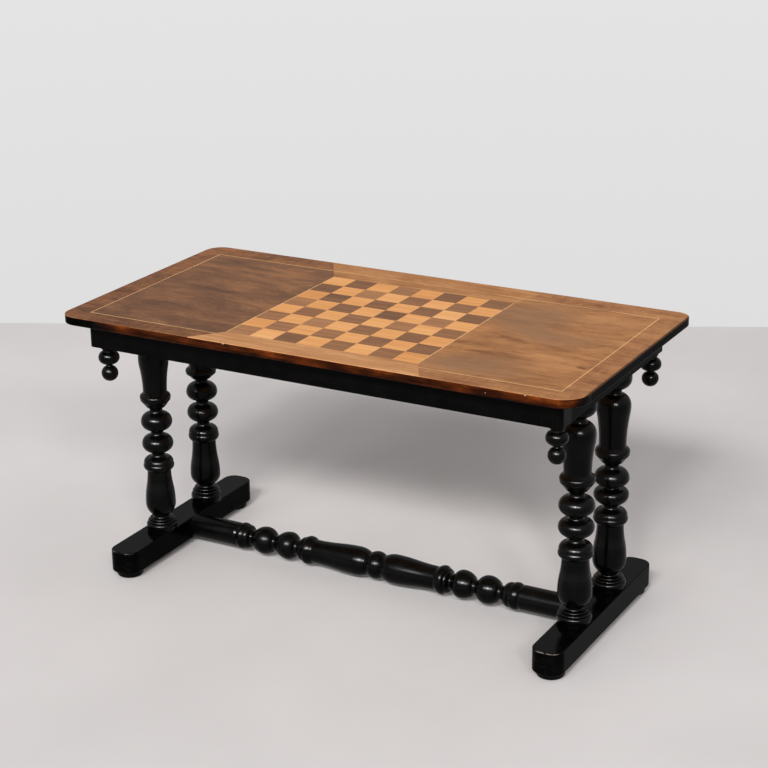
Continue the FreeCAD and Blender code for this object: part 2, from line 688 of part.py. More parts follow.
def apron_tenons(name, corner, extent):
    """The block whose two ends are an apron's tenons, set back from the apron's edges."""
    low = "apron_bottom + apron_tenon_shoulder"
    return block(name, (*corner, low), (*extent, "apron_height - apron_tenon_shoulder * 2"))


def make_long_aprons():
    """Front and back aprons, each with a tenon at both ends."""
    half = "apron_x - post_size"
    tenon_half = f"{half} + apron_tenon_length"
    inset = "(apron_thickness - apron_tenon_thickness) / 2"
    for label, side in (("front", -1), ("back", 1)):
        low_y = low_end(side, "apron_y - apron_thickness", "apron_y")
        rail = block(
            f"{label}_rail",
            (f"-({half})", low_y, "apron_bottom"),
            (f"({half}) * 2", "apron_thickness", "apron_height"),
        )
        tenons = apron_tenons(
            f"{label}_tenons",
            (f"-({tenon_half})", f"{low_y} + {inset}"),
            (f"({tenon_half}) * 2", "apron_tenon_thickness"),
        )
        node(fuse(f"{label}_board", [rail, tenons]), f"{label}_apron")


def make_end_aprons():
    """Left and right aprons, tenoned like the long ones and drilled for the bearers' screws."""
    tenon_half = "bearer_half + apron_tenon_length"
    inset = "(apron_thickness - apron_tenon_thickness) / 2"
    for label, side in ENDS:
        low_x = low_end(side, "apron_x - apron_thickness", "apron_x")
        rail = block(
            f"{label}_rail",
            (low_x, "-bearer_half", "apron_bottom"),
            ("apron_thickness", "bearer_half * 2", "apron_height"),
        )
        tenons = apron_tenons(
            f"{label}_tenons",
            (f"{low_x} + {inset}", f"-({tenon_half})"),
            ("apron_tenon_thickness", f"({tenon_half}) * 2"),
        )
        board = fuse(f"{label}_board", [rail, tenons])
        inner_x = f"(apron_x - apron_thickness) * {side}"
        holes = [
            rod(f"{label}_apron_hole", "screw_hole_diameter", "screw_grip", (inner_x, y, "apron_middle"),
                OUTWARD[side])
            for y in BEARER_SCREW_PLACES
        ]
        node(cut(f"{label}_drilled_board", board, holes), f"{label}_apron")


def make_posts():
    """Corner posts, alike but turned, each with two mortises and a hole for its pendant."""
    half = "post_size / 2"
    plan = [
        (f"-({half})", f"post_corner_radius - {half}", FROM_CREST),
        (f"post_corner_radius - {half}", f"-({half})", LINE),
        (half, f"-({half})", LINE),
        (half, half, LINE),
        (f"-({half})", half, LINE),
    ]
    blank = padded("post_blank", plan, "apron_height", "0")
    low = "apron_tenon_shoulder - fit_clearance"
    across = "apron_tenon_thickness + fit_clearance * 2"
    depth = "apron_tenon_length + bottom_clearance"
    height = "apron_height - apron_tenon_shoulder * 2 + fit_clearance * 2"
    mouth = f"{half} - ({depth})"
    cheek = f"(apron_thickness - apron_tenon_thickness) / 2 - fit_clearance - {half}"
    reach = f"{depth} + overrun"
    mortises = [
        block("post_mortise_along", (mouth, cheek, low), (reach, across, height)),
        block("post_mortise_across", (cheek, mouth, low), (across, reach, height)),
    ]
    for quarter, (label, side_x, side_y) in enumerate(CORNERS):
        insets = PENDANT_INSET_SHARES[label]
        along, inward = insets if side_x * side_y > 0 else reversed(insets)
        spigot_hole = rod(
            f"{label}_spigot_hole",
            "pendant_spigot_diameter + fit_clearance * 2",
            "pendant_spigot_length + bottom_clearance",
            (f"post_size * {along} - {half}", f"post_size * {inward} - {half}", "0"),
        )
        post = cut(f"{label}_post", blank, [*mortises, spigot_hole])
        spin = FreeCAD.Rotation(FreeCAD.Vector(0, 0, 1), RIGHT_ANGLE * quarter)
        place(post, (f"post_x * {side_x}", f"post_y * {side_y}", "apron_bottom"), spin)
        node(post, f"{label}_corner_post")


def make_bearers():
    """Bearers behind the end aprons, bored for the legs and for the screws in both directions."""
    for label, side in ENDS:
        inner_x = f"bearer_x * {side}"
        blank = block(
            f"{label}_bearer_blank",
            (low_end(side, "bearer_x", "bearer_x + bearer_width"), "-bearer_half", "apron_bottom"),
            ("bearer_width", "bearer_half * 2", "apron_height"),
        )
        holes = [
            rod(f"{label}_bearer_mortise", "leg_top_tenon_diameter + fit_clearance * 2",
                "leg_top_tenon_length + bottom_clearance",
                (f"trestle_x * {side}", f"leg_y * {row}", "apron_bottom"))
            for row in (-1, 1)
        ]
        for y in TOP_SCREW_PLACES:
            holes += pocketed_hole(
                f"{label}_rising", "apron_height", (f"bearer_middle * {side}", y, "apron_bottom"))
        for y in BEARER_SCREW_PLACES:
            holes += pocketed_hole(
                f"{label}_level", "bearer_width", (inner_x, y, "apron_middle"), OUTWARD[side])
        node(cut(f"{label}_bored_bearer", blank, holes), f"{label}_bearer")


def make_frame_fasteners():
    """Screws from the bearers into the top and the end aprons, and the glue blocks."""
    rising, level = [], []
    for label, side in ENDS:
        for y in TOP_SCREW_PLACES:
            seat = (f"bearer_middle * {side}", y, "apron_bottom + screw_recess")
            shank = "apron_height - screw_recess + screw_grip"
            rising.append(screw(f"{label}_rising_screw", shank, seat))
        for y in BEARER_SCREW_PLACES:
            seat = (f"(bearer_x + screw_recess) * {side}", y, "apron_middle")
            shank = "bearer_width - screw_recess + screw_grip"
            level.append(screw(f"{label}_level_screw", shank, seat, OUTWARD[side]))
    node(group("rising_screws", rising), "top_screws")
    node(group("level_screws", level), "bearer_screws")
    for label, side in (("front", -1), ("back", 1)):
        low_y = low_end(side, "apron_y - apron_thickness - glue_block_size", "apron_y - apron_thickness")
        low_z = "top_underside - glue_block_size"
        extent = ("glue_block_length", "glue_block_size", "glue_block_size")
        blocks = [
            block(f"{label}_block", (f"bearer_x * {share} - glue_block_length / 2", low_y, low_z), extent)
            for share in GLUE_BLOCK_SHARES
        ]
        node(group(f"{label}_blocks", blocks), f"{label}_glue_blocks")


def make_legs():
    """Four turned legs, each with a tenon into its foot and one into its bearer."""
    foot_tenon, top_tenon = "leg_foot_tenon_diameter / 2", "leg_top_tenon_diameter / 2"
    top_end = "leg_length + leg_top_tenon_length"
    for label, side_x, side_y in CORNERS:
        shares = by_eye(LEG_SHARES, LEG_MARK_SHARES, LEG_OWN_SHARES[label], LEG_GIRTH_SHARES[label])
        leg = turned(f"{label}_turning", [
            ("0", "-leg_foot_tenon_length", LINE),
            (foot_tenon, "-leg_foot_tenon_length", LINE),
            (foot_tenon, "0", LINE),
            *turning(shares, "leg_length"),
            (top_tenon, "leg_length", LINE),
            (top_tenon, top_end, LINE),
            ("0", top_end, LINE),
        ])
        place(leg, (f"trestle_x * {side_x}", f"leg_y * {side_y}", "foot_top"))
        node(leg, f"{label}_leg")


def make_pendants():
    """Four turned drops under the corner posts, each with a spigot."""
    spigot, top_end = "pendant_spigot_diameter / 2", "pendant_length + pendant_spigot_length"
    for label, side_x, side_y in CORNERS:
        shares = by_eye(PENDANT_SHARES, PENDANT_MARK_SHARES, PENDANT_OWN_SHARES[label])
        drop = turned(f"{label}_drop", [
            *turning(shares, "pendant_length"),
            (spigot, "pendant_length", LINE),
            (spigot, top_end, LINE),
            ("0", top_end, LINE),
        ])
        inset_x, inset_y = PENDANT_INSET_SHARES[label]
        place(drop, (
            f"(apron_x - post_size * {inset_x}) * {side_x}",
            f"(apron_y - post_size * {inset_y}) * {side_y}",
            "apron_bottom - pendant_length",
        ))
        node(drop, f"{label}_pendant")


def make_feet():
    """Runner feet with mortises for legs and stretcher and holes for peg and pad screws."""
    radii = ["foot_corner_radius"] * len(CORNERS)
    plan = rounded_plan("foot_width / 2", "foot_length / 2", radii)
    blank = padded("foot_blank", plan, "foot_height", "0")
    eased(blank, "0", "foot_lower_arris_radius")
    eased(blank, "foot_height", "foot_upper_arris_radius")
    holes = [
        rod("foot_leg_mortise", "leg_foot_tenon_diameter + fit_clearance * 2",
            "leg_foot_tenon_length + bottom_clearance + overrun",
            ("-foot_offset", f"leg_y * {row}", "foot_height - leg_foot_tenon_length - bottom_clearance"))
        for row in (-1, 1)
    ]
    holes += [
        rod("foot_pad_hole", "screw_hole_diameter", "pad_screw_grip", ("0", f"pad_y * {row}", "0"))
        for row in (-1, 1)
    ]
    holes.append(rod(
        "foot_stretcher_mortise", "stretcher_tenon_diameter + fit_clearance * 2",
        "stretcher_tenon_length + bottom_clearance",
        ("-foot_width / 2", "0", "stretcher_rise"), TO_RIGHT))
    holes.append(rod(
        "foot_peg_hole", "peg_diameter + fit_clearance * 2", "peg_length + bottom_clearance",
        ("(stretcher_tenon_length - foot_width) / 2", "0", "0")))
    for label, side in ENDS:
        foot = cut(f"{label}_runner", blank, holes)
        spin = UPWARD if side > 0 else FreeCAD.Rotation(FreeCAD.Vector(0, 0, 1), RIGHT_ANGLE * 2)
        place(foot, (f"foot_x * {side}", "0", "pad_height"), spin)
        node(foot, f"{label}_foot")


def make_stretcher():
    """The turned stretcher, its two halves in one piece, with a tenon at each end and its pegs."""
    tenon, tenon_end = "stretcher_tenon_diameter / 2", "stretcher_half + stretcher_tenon_length"
    halves = []
    for label, side in ENDS:
        shares = by_eye(STRETCHER_HALF_SHARES, STRETCHER_MARK_SHARES, STRETCHER_OWN_SHARES[label])
        half = turned(f"{label}_stretcher_half", [
            ("0", "0", LINE),
            *turning(shares, "stretcher_half"),
            (tenon, "stretcher_half", LINE),
            (tenon, tenon_end, LINE),
            ("0", tenon_end, LINE),
        ])
        place(half, ("0", "0", "stretcher_z"), OUTWARD[side])
        halves.append(half)
    peg_holes = [
        rod(f"{label}_tenon_hole", "peg_diameter + fit_clearance * 2", "foot_height",
            (f"peg_x * {side}", "0", "pad_height"))
        for label, side in ENDS
    ]
    node(cut("stretcher_piece", fuse("stretcher_turning", halves), peg_holes), "stretcher")
    pegs = [
        rod(f"{label}_peg", "peg_diameter", "peg_length", (f"peg_x * {side}", "0", "pad_height"))
        for label, side in ENDS
    ]
    node(group("pegs", pegs), "stretcher_pegs")


def make_pads():
    """Four turned pads under the feet and the screws that hold them."""
    pocket, hole, rim = "screw_pocket_diameter / 2", "screw_hole_diameter / 2", "pad_diameter / 2"
    rows = [
        (pocket, "0", LINE),
        (f"{rim} - pad_edge_radius", "0", TO_CREST),
        (rim, "pad_edge_radius", LINE),
        (rim, "pad_height", LINE),
        (hole, "pad_height", LINE),
        (hole, "pad_screw_recess", LINE),
        (pocket, "pad_screw_recess", LINE),
    ]
    screws = []
    for label, side_x, side_y in CORNERS:
        x, y = f"foot_x * {side_x}", f"pad_y * {side_y}"
        pad = turned(f"{label}_disc", rows)
        place(pad, (x, y, "0"))
        node(pad, f"{label}_pad")
        shank = "pad_height - pad_screw_recess + pad_screw_grip"
        screws.append(screw(f"{label}_disc_screw", shank, (x, y, "pad_screw_recess")))
    node(group("disc_screws", screws), "pad_screws")


def check_and_write():
    """Stops on any failed object, then writes each sub-part to its file."""
    doc.recompute()
    for item in doc.Objects:
        if {"Invalid", "Error"} & set(item.State):
            raise RuntimeError(f"{item.Label} failed: {item.State}")
    os.makedirs("parts", exist_ok=True)
    for item in nodes:
        if item.Shape.isNull() or not item.Shape.isValid() or not item.Shape.Solids:
            raise RuntimeError(f"{item.Label} has no valid solid")
    for item in nodes:
        item.Shape.exportStep(f"parts/{item.Label}.step")
        print(item.Label, len(item.Shape.Solids), round(item.Shape.Volume))


fill_sheet()
make_core()
make_veneers()
make_board()
make_long_aprons()
make_end_aprons()
make_posts()
make_bearers()
make_frame_fasteners()
make_legs()
make_pendants()
make_feet()
make_stretcher()
make_pads()
check_and_write()
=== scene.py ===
import math

import bpy
from mathutils import Matrix, Vector


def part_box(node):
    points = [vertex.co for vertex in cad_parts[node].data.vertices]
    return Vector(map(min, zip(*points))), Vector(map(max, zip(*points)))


# The looks of a chess table with an inlaid board: veneers, squares, a worn brown edge and ebonised
# turnings, under soft studio light on a pale floor. Lengths are in metres, in the frame of the model.

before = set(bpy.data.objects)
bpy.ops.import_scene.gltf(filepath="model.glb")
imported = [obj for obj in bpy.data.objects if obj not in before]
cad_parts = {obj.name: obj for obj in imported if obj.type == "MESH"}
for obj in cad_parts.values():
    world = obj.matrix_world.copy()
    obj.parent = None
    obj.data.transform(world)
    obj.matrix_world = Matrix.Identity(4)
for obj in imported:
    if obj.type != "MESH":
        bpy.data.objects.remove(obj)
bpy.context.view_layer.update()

# Sizes that the finishes follow, read from the frame
BOARD_LOW, BOARD_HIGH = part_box("light_squares")
SQUARES_PER_SIDE = 8
SQUARE = (BOARD_HIGH.x - BOARD_LOW.x) / SQUARES_PER_SIDE
EDGE_LOW, EDGE_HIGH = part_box("front_edge_band")
FOOT_LOW, FOOT_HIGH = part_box("right_foot")
TOP_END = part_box("right_border_veneer")[1].x

ALONG_X, ALONG_Y, ALONG_Z = range(3)

# Noise: its middle, the range that it mostly keeps to and the range that it hardly leaves
NOISE_MIDDLE = 0.5
NOISE_USUAL = (0.3, 0.7)
NOISE_WIDE = (0.2, 0.8)


def srgb(red, green, blue):
    """A colour from its 8-bit display values, by the sRGB curve, as the linear colour that shaders take."""
    def linear(level):
        share = level / 255
        return share / 12.92 if share <= 0.04045 else ((share + 0.055) / 1.055) ** 2.4
    return (linear(red), linear(green), linear(blue), 1.0)


class Finish:
    """A material under construction, with short calls for the nodes that the finishes share."""

    def __init__(self, name):
        self.material = bpy.data.materials.new(name)
        self.material.use_nodes = True
        self.tree = self.material.node_tree
        self.shader = self.tree.nodes["Principled BSDF"]
        self.place = self.add("ShaderNodeTexCoord").outputs["Object"]

    def add(self, kind, **settings):
        """A new node of a kind, with its settings."""
        node = self.tree.nodes.new(kind)
        for key, setting in settings.items():
            setattr(node, key, setting)
        return node

    def feed(self, socket, source):
        """Puts a socket's value in, or links another node's output to it."""
        if isinstance(source, bpy.types.NodeSocket):
            self.tree.links.new(source, socket)
        else:
            socket.default_value = source

    def vector_math(self, operation, *sources, output="Vector"):
        """The result of an operation on places or sizes."""
        node = self.add("ShaderNodeVectorMath", operation=operation)
        for socket, source in zip(node.inputs, sources):
            self.feed(socket, source)
        return node.outputs[output]

    def math(self, operation, *sources):
        """The result of an operation on values."""
        node = self.add("ShaderNodeMath", operation=operation)
        for socket, source in zip(node.inputs, sources):
            self.feed(socket, source)
        return node.outputs["Value"]

    def total(self, first, *others):
        """The sum of several values."""
        for other in others:
            first = self.math("ADD", first, other)
        return first

    def product(self, first, *others):
        """The product of several values."""
        for other in others:
            first = self.math("MULTIPLY", first, other)
        return first

    def axis(self, number):
        """One coordinate of the place on the object."""
        split = self.add("ShaderNodeSeparateXYZ")
        self.feed(split.inputs["Vector"], self.place)
        return split.outputs[number]

    def cells(self, place, sizes):
        """Coordinates in which a unit is one cell of the given sizes."""
        return self.vector_math("DIVIDE", place, sizes)

    def noise(self, place, sizes, detail=2.0, roughness=0.5):
        """Noise whose features have about the given sizes along X, Y and Z."""
        node = self.add("ShaderNodeTexNoise")
        self.feed(node.inputs["Vector"], self.cells(place, sizes))
        node.inputs["Scale"].default_value = 1.0
        node.inputs["Detail"].default_value = detail
        node.inputs["Roughness"].default_value = roughness
        return node.outputs["Fac"]

    def ranged(self, source, low, high, to_low=0.0, to_high=1.0):
        """A value, stretched from one range to another and kept within it."""
        node = self.add("ShaderNodeMapRange")
        self.feed(node.inputs["Value"], source)
        node.inputs["From Min"].default_value = low
        node.inputs["From Max"].default_value = high
        node.inputs["To Min"].default_value = to_low
        node.inputs["To Max"].default_value = to_high
        return node.outputs["Result"]

    def usual(self, noise, to_low, to_high):
        """Noise, stretched from the range that it mostly keeps to."""
        return self.ranged(noise, *NOISE_USUAL, to_low, to_high)

    def swing(self, noise, amount):
        """Noise as a change of tone, darker or lighter by an amount."""
        return self.ranged(noise, *NOISE_WIDE, -amount, amount)

    def spot(self, source, middle, reach, peak):
        """A value that rises to a peak at one place along an axis and is zero beyond a reach."""
        away = self.math("ABSOLUTE", self.math("SUBTRACT", source, middle))
        return self.ranged(away, 0.0, reach, peak, 0.0)

    def ramp(self, source, tones, colours):
        """Colours along a value, each at a tone of its own."""
        node = self.add("ShaderNodeValToRGB")
        self.feed(node.inputs["Fac"], source)
        elements = node.color_ramp.elements
        for tone in tones[1:-1]:
            elements.new(tone)
        for element, tone, colour in zip(elements, tones, colours):
            element.position = tone
            element.color = colour
        return node.outputs["Color"]

    def mix(self, share, first, second, blend="MIX"):
        """The first colour with a share of the second one over it."""
        node = self.add("ShaderNodeMix", data_type="RGBA", blend_type=blend)
        self.feed(node.inputs["Factor"], share)
        self.feed(node.inputs["A"], first)
        self.feed(node.inputs["B"], second)
        return node.outputs["Result"]

    def bump(self, height, depth):
        """Relief of a given depth, fed to the shader's normal."""
        node = self.add("ShaderNodeBump")
        node.inputs["Distance"].default_value = depth
        self.feed(node.inputs["Height"], height)
        self.feed(self.shader.inputs["Normal"], node.outputs["Normal"])

    def set(self, **sockets):
        """Sets or links the shader's sockets, named with underscores for spaces."""
        for key, source in sockets.items():
            self.feed(self.shader.inputs[key.replace("_", " ")], source)


def even(size):
    """Sizes of a feature that is as long as it is wide and high."""
    return (size, size, size)


def along(axis, length, width):
    """Sizes of a grain feature: its length on one axis and its width on the others."""
    sizes = list(even(width))
    sizes[axis] = length
    return sizes


# Sway of the growth rings: its length along the grain and its width across it
RING_SWAY = (0.30, 0.12)


def grain_place(finish, axis, warp):
    """Coordinates that wander across the grain, as the growth rings in a sheet of veneer do."""
    sway = finish.math("SUBTRACT", finish.noise(finish.place, along(axis, *RING_SWAY)), NOISE_MIDDLE)
    push = finish.vector_math("MULTIPLY", sway, along(axis, 0.0, warp))
    return finish.vector_math("ADD", finish.place, push)


# Veneer: length and width of its features along the grain, how they change the tone, and its polish
CLOUD = (0.12, 0.05)
STREAK_LENGTH = 0.30
FIBRE = (0.05, 0.0026)
FIBRE_TONE = 0.10
PORE = (0.012, 0.00045)
PORE_RANGE = (0.62, 0.72)
PORE_STRENGTH = 0.30
RIPPLE = (0.012, 0.05)
LEAN_REACH = 0.25
VENEER_TONES = (0.36, 0.50, 0.64)
VENEER_ROUGHNESS = (0.32, 0.42)
POLISH_SPECULAR = 0.09
POLISH_RELIEF = 0.00003

# Smoky places in a veneer, and the stained rim at the right end of the top
SMOKE_DRIFT = (0.20, 0.09)
SMOKE_RANGE = (0.5, 1.2)
SMOKE_STRENGTH = 0.68
RIM_WIDTH = 0.0048
RIM_STRENGTH = 0.85


def blot(finish, place, middle, reach):
    """A value of 1 at a place in plan that falls to 0 at the rim of an ellipse round it."""
    offset = finish.vector_math("SUBTRACT", place, (*middle, BOARD_HIGH.z))
    away = finish.vector_math("LENGTH", finish.cells(offset, (*reach, 1.0)), output="Value")
    return finish.ranged(away, 0.0, 1.0, 1.0, 0.0)


def veneer(name, colours, warp=0.10, streak=0.022, cloud=0.5, lean=0.0, curl=0.0,
           figure=(), smoke=None, smoke_places=(), rim=None):
    """Polished veneer: clouds of tone, streaks that follow the rings, fibres and dark pores.

    The colours are a dark, a middle and a light one. The tone can lean from the front to the back and
    ripple across the grain. A figure is rows of (middle, reach, strength) that lighten or darken it,
    and smoke drifts over places of its own. A rim is a stain along the right end of the top.
    """
    finish = Finish(name)
    place = grain_place(finish, ALONG_X, warp)
    clouds = finish.noise(place, along(ALONG_X, *CLOUD), detail=7.0, roughness=0.68)
    streaks = finish.noise(place, along(ALONG_X, STREAK_LENGTH, streak), detail=7.0, roughness=0.74)
    fibres = finish.noise(place, along(ALONG_X, *FIBRE), detail=3.0, roughness=0.65)
    pores = finish.noise(place, along(ALONG_X, *PORE), detail=1.0)
    ripples = finish.noise(place, along(ALONG_X, *RIPPLE))
    tone = finish.total(
        finish.product(clouds, cloud),
        finish.product(streaks, 1 - cloud),
        finish.swing(fibres, FIBRE_TONE),
        finish.usual(ripples, -curl, curl),
        finish.ranged(finish.axis(ALONG_Y), -LEAN_REACH, LEAN_REACH, -lean, lean),
        *(finish.product(blot(finish, place, *spot), strength) for *spot, strength in figure),
    )
    colour = finish.ramp(tone, VENEER_TONES, colours)
    if smoke:
        drift = finish.noise(place, along(ALONG_X, *SMOKE_DRIFT), detail=4.0)
        veil = finish.total(drift, *(blot(finish, place, *spot) for spot in smoke_places))
        colour = finish.mix(finish.ranged(veil, *SMOKE_RANGE, 0.0, SMOKE_STRENGTH), colour, smoke)
    if rim:
        rim_start, rim_full = TOP_END - RIM_WIDTH, TOP_END - RIM_WIDTH / 2
        stain = finish.ranged(finish.axis(ALONG_X), rim_start, rim_full, 0.0, RIM_STRENGTH)
        colour = finish.mix(stain, colour, rim)
    pits = finish.ranged(pores, *PORE_RANGE, 0.0, PORE_STRENGTH)
    finish.set(
        Base_Color=finish.mix(pits, colour, colours[0], blend="MULTIPLY"),
        Roughness=finish.usual(clouds, *VENEER_ROUGHNESS),
        Specular_IOR_Level=POLISH_SPECULAR,
    )
    finish.bump(finish.math("SUBTRACT", fibres, pits), POLISH_RELIEF)
    return finish.material


# Squares: how far apart their places on the sheet are, their grain and their polish
SHEET_REACH = 9.0
SQUARE_WARP = 0.03
SQUARE_STREAK = (0.20, 0.008)
SQUARE_STREAK_TONE = (0.2, 0.8)
SQUARE_FIBRE = (0.05, 0.0010)
SQUARE_FIBRE_TONE = 0.05
SQUARE_TONES = (0.26, 0.50, 0.74)
SQUARE_ROUGHNESS = (0.33, 0.42)


def squares(name, colours, spread):
    """Veneer squares, each cut from another place of its sheet and a little darker or lighter."""
    finish = Finish(name)
    corner = (BOARD_LOW.x, BOARD_LOW.y, 0.0)
    cell = finish.cells(finish.vector_math("SUBTRACT", finish.place, corner), (SQUARE, SQUARE, 1.0))
    chance = finish.add("ShaderNodeTexWhiteNoise", noise_dimensions="2D")
    finish.feed(chance.inputs["Vector"], finish.vector_math("FLOOR", cell))
    shift = finish.vector_math("MULTIPLY", chance.outputs["Color"], even(SHEET_REACH))
    finish.place = finish.vector_math("ADD", finish.place, shift)
    place = grain_place(finish, ALONG_X, SQUARE_WARP)
    streaks = finish.noise(place, along(ALONG_X, *SQUARE_STREAK), detail=3.0, roughness=0.55)
    fibres = finish.noise(place, along(ALONG_X, *SQUARE_FIBRE), detail=3.0, roughness=0.6)
    tone = finish.total(
        finish.ranged(streaks, 0.0, 1.0, *SQUARE_STREAK_TONE),
        finish.swing(fibres, SQUARE_FIBRE_TONE),
        finish.ranged(chance.outputs["Value"], 0.0, 1.0, -spread, spread),
    )
    finish.set(
        Base_Color=finish.ramp(tone, SQUARE_TONES, colours),
        Roughness=finish.usual(streaks, *SQUARE_ROUGHNESS),
        Specular_IOR_Level=POLISH_SPECULAR,
    )
    finish.bump(fibres, POLISH_RELIEF)
    return finish.material


# Long edges of the top: patches and streaks in the shellac, and the tone from the bottom to the top
EDGE_PATCH = (0.060, 0.02, EDGE_HIGH.z - EDGE_LOW.z)
EDGE_PATCH_SHARE = 0.62
EDGE_STREAK = (0.16, 0.02, 0.0022)
EDGE_WORN_AND_LIT_RISE = (-0.08, 0.05)
# Painted light on the edge: painted shade towards its bottom, painted highlight towards its top arris
EDGE_TONES = (0.34, 0.47, 0.58, 0.74)
EDGE_COLOURS = (srgb(12, 4, 2), srgb(46, 17, 4), srgb(74, 31, 7), srgb(130, 62, 17))
EDGE_ROUGHNESS = (0.42, 0.28)
EDGE_SPECULAR = 0.035
EDGE_RELIEF = 0.0001

# Black ends of those edges: from where to where the black fades, measured from each end
LEFT_FADE = (0.002, 0.069)
RIGHT_FADE = (0.017, 0.004)
EDGE_END_COLOUR = srgb(5, 4, 4)

# Places along the front edge painted lighter orange, as worn shellac with a painted highlight: middle,
# reach and strength
WORN_AND_HIGHLIGHT_PLACES = (
    (-0.400, 0.040, 0.05),
    (-0.063, 0.030, 0.05),
    (0.022, 0.070, 0.05),
    (0.333, 0.060, 0.05),
    (0.508, 0.026, 0.10),
)

# Chips in the front edge: place along it, depth behind its face, drop below its top, and reach
CHIPS = (
    (-0.165, 0.000, 0.0003, 0.0021),
    (0.372, 0.000, 0.0088, 0.0009),
    (0.447, 0.000, 0.0008, 0.0016),
    (0.490, 0.004, 0.0058, 0.0010),
)
CHIP_CORE = 0.6
CHIP_COLOUR = srgb(188, 166, 142)


def worn_and_lit_edge(name):
    """Shellac on the long edges: dark red brown, orange on top where it is worn and where a highlight is
    painted, darker below as painted shade, and black towards the ends.
    """
    finish = Finish(name)
    x = finish.axis(ALONG_X)
    patches = finish.noise(finish.place, EDGE_PATCH, detail=4.0, roughness=0.6)
    streaks = finish.noise(finish.place, EDGE_STREAK, detail=4.0, roughness=0.65)
    tone = finish.total(
        finish.product(patches, EDGE_PATCH_SHARE),
        finish.product(streaks, 1 - EDGE_PATCH_SHARE),
        # Painted shade at the bottom of the edge and painted highlight at its top, over worn shellac
        finish.ranged(finish.axis(ALONG_Z), EDGE_LOW.z, EDGE_HIGH.z, *EDGE_WORN_AND_LIT_RISE),
        # Painted highlight over worn shellac: lighter orange at the listed places along the edge
        *(finish.spot(x, *worn_lit_place) for worn_lit_place in WORN_AND_HIGHLIGHT_PLACES),
    )
    colour = finish.ramp(tone, EDGE_TONES, EDGE_COLOURS)
    for place, depth, drop, reach in CHIPS:
        middle = (place, EDGE_LOW.y + depth, EDGE_HIGH.z - drop)
        away = finish.vector_math("DISTANCE", finish.place, middle, output="Value")
        colour = finish.mix(finish.ranged(away, reach * CHIP_CORE, reach, 1.0, 0.0), colour, CHIP_COLOUR)
    left_fade = finish.ranged(x, *(EDGE_LOW.x + inset for inset in LEFT_FADE))
    right_fade = finish.ranged(x, *(EDGE_HIGH.x - inset for inset in RIGHT_FADE), 1.0, 0.0)
    finish.set(
        Base_Color=finish.mix(finish.product(left_fade, right_fade), EDGE_END_COLOUR, colour),
        Roughness=finish.usual(patches, *EDGE_ROUGHNESS),
        Specular_IOR_Level=EDGE_SPECULAR,
    )
    finish.bump(streaks, EDGE_RELIEF)
    return finish.material


# Ebonised wood: its pores, the film of lacquer, how its roughness varies, and streaks where it is thin
BLACK_PORE = (0.03, 0.0012)
FILM_CLOUD = 0.035
FILM_TONES = (0.35, 0.55, 0.75)
FILM_COLOURS = (srgb(2, 2, 2), srgb(4, 4, 4), srgb(8, 7, 7))
FILM_ROUGHNESS = (-0.04, 0.06)
THIN_STREAK = (0.20, 0.006)
THIN_RANGE = (0.56, 0.74)
THIN_COLOUR = srgb(17, 11, 9)

# Faces that look upwards: the Z of their normal where the crown's gloss starts and where it is full
CROWN_TILT = (0.1, 0.5)

# Marks at the feet's front ends: where they fade, the pale arris along the top (wear and painted
# highlight), and scuffs
FOOT_FRONT = (0.012, 0.004)
FOOT_RUB = (0.012, 0.012, 0.004)
ARRIS = 0.0011
ARRIS_RANGE = (0.46, 0.62)
# Pale colour of the arris: wear and painted highlight
ARRIS_WEAR_AND_HIGHLIGHT_COLOUR = srgb(132, 125, 117)
SCUFF_RANGE = (0.54, 0.72)
SCUFF_STRENGTH = 0.2
SCUFF_COLOUR = srgb(52, 46, 42)


def foot_wear_and_highlight(finish, colour):
    """A foot's colour, with a pale line on its front arris, partly wear and partly a painted highlight, and
    scuffs on its front end.
    """
    rub = finish.noise(finish.place, FOOT_RUB, detail=4.0, roughness=0.65)
    arris = finish.spot(finish.axis(ALONG_Z), FOOT_HIGH.z - ARRIS, ARRIS, 1.0)
    front = finish.ranged(finish.axis(ALONG_Y), *(FOOT_LOW.y + inset for inset in FOOT_FRONT))
    # Painted highlight and wear: a pale line along the top front arris
    wear = finish.product(arris, front, finish.ranged(rub, *ARRIS_RANGE))
    colour = finish.mix(wear, colour, ARRIS_WEAR_AND_HIGHLIGHT_COLOUR)
    scuff = finish.product(front, finish.ranged(rub, *SCUFF_RANGE, 0.0, SCUFF_STRENGTH))
    return finish.mix(scuff, colour, SCUFF_COLOUR)


def ebonised(name, axis, roughness, specular, relief, brown=0.5, crown=None, worn_highlit_foot=False):
    """Black stained and lacquered wood whose pores still show, with brown at its thinnest places.

    Brown is how far it shows there. The crown is the specular level of faces that look upwards, where
    the lacquer keeps its shine.
    """
    finish = Finish(name)
    pores = finish.noise(finish.place, along(axis, *BLACK_PORE), detail=3.0, roughness=0.6)
    film = finish.noise(finish.place, even(FILM_CLOUD), detail=4.0)
    thin = finish.noise(finish.place, along(axis, *THIN_STREAK), detail=4.0, roughness=0.6)
    colour = finish.ramp(film, FILM_TONES, FILM_COLOURS)
    colour = finish.mix(finish.ranged(thin, *THIN_RANGE, 0.0, brown), colour, THIN_COLOUR)
    if worn_highlit_foot:
        colour = foot_wear_and_highlight(finish, colour)
    if crown:
        facing = finish.add("ShaderNodeSeparateXYZ")
        finish.feed(facing.inputs["Vector"], finish.add("ShaderNodeNewGeometry").outputs["Normal"])
        specular = finish.ranged(facing.outputs["Z"], *CROWN_TILT, specular, crown)
    finish.set(
        Base_Color=colour,
        Roughness=finish.usual(film, *(roughness + change for change in FILM_ROUGHNESS)),
        Specular_IOR_Level=specular,
    )
    finish.bump(pores, relief)
    return finish.material


# Bare wood: its growth rings and fibres, and its planed face
BARE_WARP = 0.02
BARE_RING = (0.5, 0.008)
BARE_FIBRE = (0.04, 0.0008)
BARE_FIBRE_TONE = 0.07
BARE_TONES = (0.35, 0.65)
BARE_ROUGHNESS = (0.62, 0.75)
BARE_SPECULAR = 0.3
BARE_RELIEF = 0.0002


